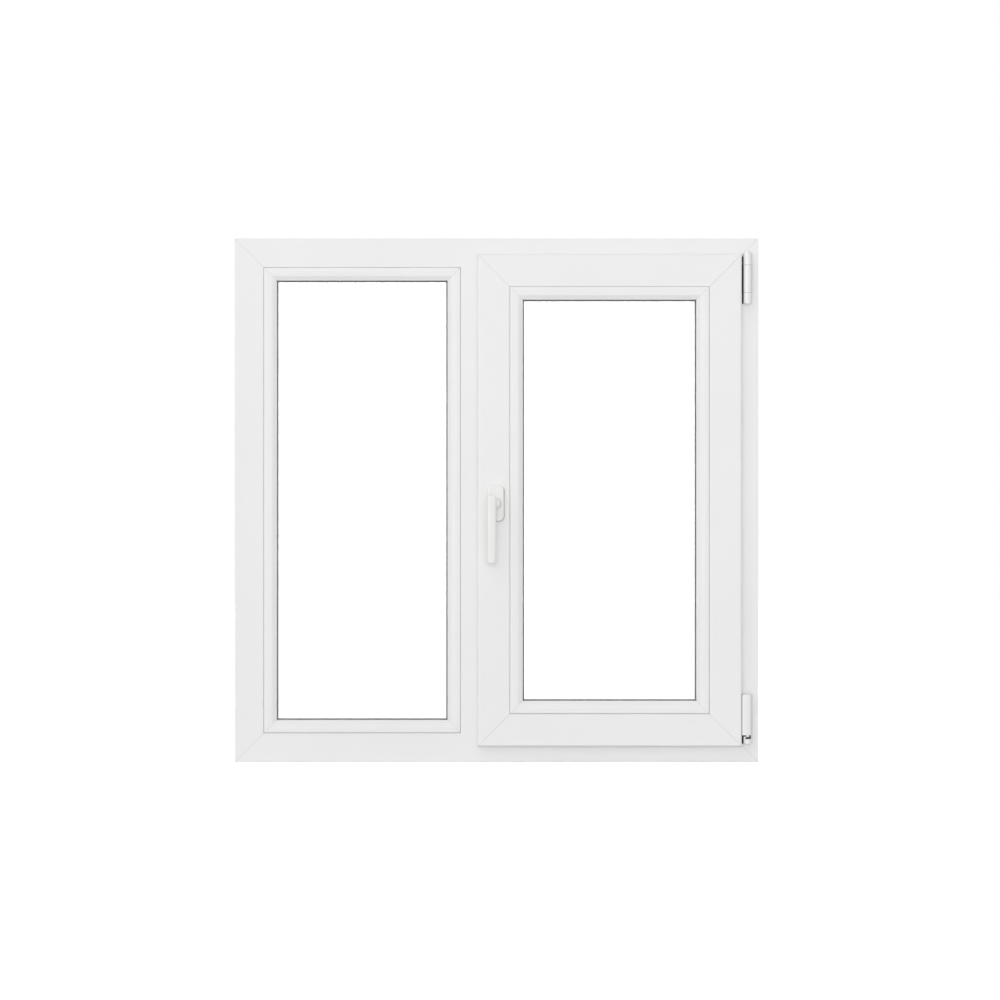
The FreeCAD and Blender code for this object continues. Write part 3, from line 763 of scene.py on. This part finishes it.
base = bmesh.new()
rings = [
    [base.verts.new(p) for p in rosette_ring(inset, shift, y)]
    for inset, shift, y in (
        (0.0, shadow_shift, rosette_back),
        (0.0, shadow_shift, base_front + base_edge),
        (base_edge, shadow_shift, base_front),
        (base_overlap, 0.0, base_front),
        (base_overlap, 0.0, rosette_back),
    )
]
close_loop(base, rings)
new_piece("handle_rosette_shadow_rim", base, rosette_shadow_plate, "window")

# Drain caps: four small moulded hoods that clip over the drain slots on the outside of the sill, with fine
# raised ribs across their fronts.
rib_count = 4
rib_length = 0.026
rib_width = 0.0009
rib_height = 0.0006
rib_pitch = 0.0024
lowest_rib = 0.0029
cap_length = 0.036
cap_lean = 0.002
corner_inset = 0.11

cap_plastic, shader, place = new_material("drain_cap_moulded_plastic")
grain = noise(cap_plastic, place, 1400.0, detail=3.0)
flow = noise(cap_plastic, place, 70.0, (0.4, 1.0, 1.0))
join(
    cap_plastic,
    shader,
    colour=shades(cap_plastic, flow, (0.79, 0.79, 0.785), (0.83, 0.83, 0.825)),
    roughness=spread(cap_plastic, grain, 0.42, 0.55),
    bump=grain,
    strength=0.25,
    depth=0.00005,
)
finish_node("frame_drain_caps", cap_plastic)


def rib_tree(material):
    """A short stack of thin ribs, one above the other."""
    tree, start, end = new_tree(
        "drain_cap_ribs",
        {
            "Count": float(rib_count),
            "Pitch": rib_pitch,
            "Length": rib_length,
            "Breadth": rib_width,
            "Relief": rib_height,
        },
    )
    step = tree.nodes.new("ShaderNodeCombineXYZ")
    wire(tree, start.outputs["Pitch"], step, "Z")
    stack = tree.nodes.new("GeometryNodeMeshLine")
    stack.mode = "OFFSET"
    wire(tree, start.outputs["Count"], stack, "Count")
    wire(tree, step.outputs["Vector"], stack, "Offset")
    size = tree.nodes.new("ShaderNodeCombineXYZ")
    wire(tree, start.outputs["Length"], size, "X")
    wire(tree, start.outputs["Relief"], size, "Y")
    wire(tree, start.outputs["Breadth"], size, "Z")
    rib = tree.nodes.new("GeometryNodeMeshCube")
    wire(tree, size.outputs["Vector"], rib, "Size")
    ribs = tree.nodes.new("GeometryNodeInstanceOnPoints")
    wire(tree, stack.outputs["Mesh"], ribs, "Points")
    wire(tree, rib.outputs["Mesh"], ribs, "Instance")
    real = tree.nodes.new("GeometryNodeRealizeInstances")
    wire(tree, ribs.outputs["Instances"], real, "Geometry")
    paint = tree.nodes.new("GeometryNodeSetMaterial")
    wire(tree, real.outputs["Geometry"], paint, "Geometry")
    paint.inputs["Material"].default_value = material
    wire(tree, paint.outputs["Geometry"], end, "Geometry")
    return tree


ribs = grown("drain_cap_ribs", rib_tree(cap_plastic), {}, cap_plastic, "window")
caps_low, caps_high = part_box("frame_drain_caps")
hood_lean = cap_lean / (caps_high.z - caps_low.z)
hood_front = caps_high.y
light_edges = (frame_low.x + frame_face, joint_left, joint_right, mullion_high.x)
made = bmesh.new()
for centre in (
    light_edges[0] + corner_inset,
    light_edges[1] - corner_inset,
    light_edges[2] + corner_inset,
    caps_high.x - cap_length / 2,
):
    made.from_mesh(ribs.data)
    for vertex in made.verts[-len(ribs.data.vertices):]:
        rise = lowest_rib + vertex.co.z
        vertex.co = (centre + vertex.co.x, hood_front - hood_lean * rise + vertex.co.y, caps_low.z + rise)
bmesh.ops.recalc_face_normals(made, faces=made.faces)
made.to_mesh(ribs.data)
made.free()

# Floor, backdrop and light: a pale studio floor that keeps the window's shadow, white all round, and soft
# lamps in front, high on the left and behind. A bright card on the left shows only in what is glossy.
floor_half = 25.0
floor_drop = 0.0003
floor_mesh = bpy.data.meshes.new("floor")
corners = [(x * floor_half, y * floor_half, 0) for x, y in ((-1, -1), (1, -1), (1, 1), (-1, 1))]
floor_mesh.from_pydata(corners, [], [(0, 1, 2, 3)])
floor = bpy.data.objects.new("floor", floor_mesh)
floor.location.z = -floor_drop
bpy.context.scene.collection.objects.link(floor)

floor_paint = bpy.data.materials.new("floor_pale")
floor_paint.use_nodes = True
paint_nodes = floor_paint.node_tree.nodes
paint_links = floor_paint.node_tree.links
paint = paint_nodes["Principled BSDF"]
paint.inputs["Base Color"].default_value = (0.82, 0.82, 0.82, 1)
paint.inputs["Roughness"].default_value = 0.9
rays = paint_nodes.new("ShaderNodeLightPath")
seen = paint_nodes.new("ShaderNodeMath")
seen.operation = "MAXIMUM"
paint_links.new(rays.outputs["Is Camera Ray"], seen.inputs[0])
paint_links.new(rays.outputs["Is Transmission Ray"], seen.inputs[1])
shown = paint_nodes.new("ShaderNodeMath")
shown.operation = "MAXIMUM"
paint_links.new(seen.outputs["Value"], shown.inputs[0])
paint_links.new(rays.outputs["Is Glossy Ray"], shown.inputs[1])
lift = paint_nodes.new("ShaderNodeMath")
lift.operation = "MULTIPLY"
lift.inputs[1].default_value = 0.6
paint_links.new(shown.outputs["Value"], lift.inputs[0])
paint.inputs["Emission Color"].default_value = (1, 1, 1, 1)
paint_links.new(lift.outputs["Value"], paint.inputs["Emission Strength"])
floor_mesh.materials.append(floor_paint)

world = bpy.data.worlds.new("studio")
bpy.context.scene.world = world
world.use_nodes = True
sky_nodes = world.node_tree.nodes
sky_links = world.node_tree.links
background = sky_nodes["Background"]
background.inputs["Color"].default_value = (1, 1, 1, 1)
rays = sky_nodes.new("ShaderNodeLightPath")
either = sky_nodes.new("ShaderNodeMath")
either.operation = "MAXIMUM"
sky_links.new(rays.outputs["Is Camera Ray"], either.inputs[0])
sky_links.new(rays.outputs["Is Glossy Ray"], either.inputs[1])
white = sky_nodes.new("ShaderNodeMath")
white.operation = "MAXIMUM"
sky_links.new(either.outputs["Value"], white.inputs[0])
sky_links.new(rays.outputs["Is Transmission Ray"], white.inputs[1])
level = sky_nodes.new("ShaderNodeMapRange")
level.inputs["To Min"].default_value = 0.591
level.inputs["To Max"].default_value = 1.0
sky_links.new(white.outputs["Value"], level.inputs["Value"])
sky_links.new(level.outputs["Result"], background.inputs["Strength"])

for name, towards, soft, strength, lights, gleams in (
    ("lamp_front", (0.0, -1.0, 0.03), 30, 1.1, True, False),
    ("lamp_left", (-0.75, -1.0, 1.0), 60, 0.5, True, True),
    ("lamp_back", (0.5, 1.0, 0.1), 20, 0.5, True, False),
    ("card_left", (-0.5, -1.0, 0.02), 22, 1.5, False, True),
):
    lamp_data = bpy.data.lights.new(name, "SUN")
    lamp_data.angle = math.radians(soft)
    lamp_data.energy = strength
    lamp = bpy.data.objects.new(name, lamp_data)
    lamp.rotation_euler = Vector(towards).to_track_quat("Z", "Y").to_euler()
    lamp.location = Vector(towards) * 3
    lamp.visible_diffuse = lights
    lamp.visible_glossy = gleams
    bpy.context.scene.collection.objects.link(lamp)
bpy.context.scene.view_settings.view_transform = "Standard"
